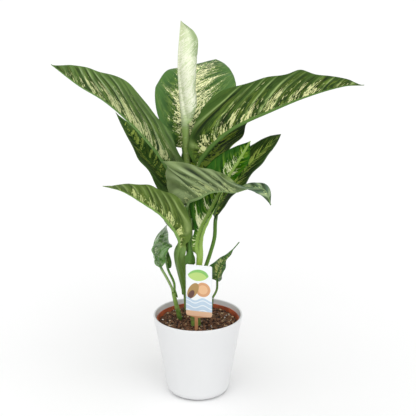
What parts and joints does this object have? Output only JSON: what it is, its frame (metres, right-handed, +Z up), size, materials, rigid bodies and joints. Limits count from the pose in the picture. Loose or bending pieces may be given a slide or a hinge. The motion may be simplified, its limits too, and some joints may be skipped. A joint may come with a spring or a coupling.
{
  "type": "potted plant",
  "caption": "Potted dieffenbachia with large variegated leaves on short canes, in a smooth white tapered pot with soil and a care tag.",
  "frame": {"origin": "middle of the pot's flat underside, where it stands", "axes": "+Z up along the pot's axis, -Y towards the plant's front, where the care tag faces, +X to the right seen from the front"},
  "size_m": [0.4907, 0.3205, 0.6271],
  "materials": {
    "white_pot": "smooth white glaze with a soft sheen",
    "inner_pot": "terracotta-coloured moulded plastic",
    "soil": "dark crumbly potting soil with bark chips and white grains",
    "cane": "green fleshy cane with leaf-scar rings",
    "leaf": "waxy dark green leaf with cream and yellow-green blotches along the side veins",
    "young_leaf": "pale cream-green leaf, still rolled",
    "tag": "thin printed plastic sheet"
  },
  "bodies": {
    "root": {"cover_pot": "white_pot", "grower_pot": "inner_pot", "soil": "soil", "cane_main": "cane", "cane_back": "cane", "cane_left": "cane", "cane_right": "cane", "leaf_young_rolled": "young_leaf", "leaf_back": "leaf", "leaf_right_large": "leaf", "leaf_left_large": "leaf", "leaf_left_shaded": "leaf", "leaf_right_shaded": "leaf", "leaf_right_lower": "leaf", "leaf_front": "leaf", "leaf_centre_glossy": "leaf", "leaf_left_lower": "leaf", "leaf_left_small": "leaf", "leaf_left_small_rolled": "leaf", "leaf_right_small": "leaf", "care_tag": "tag"}
  },
  "joints": []
}
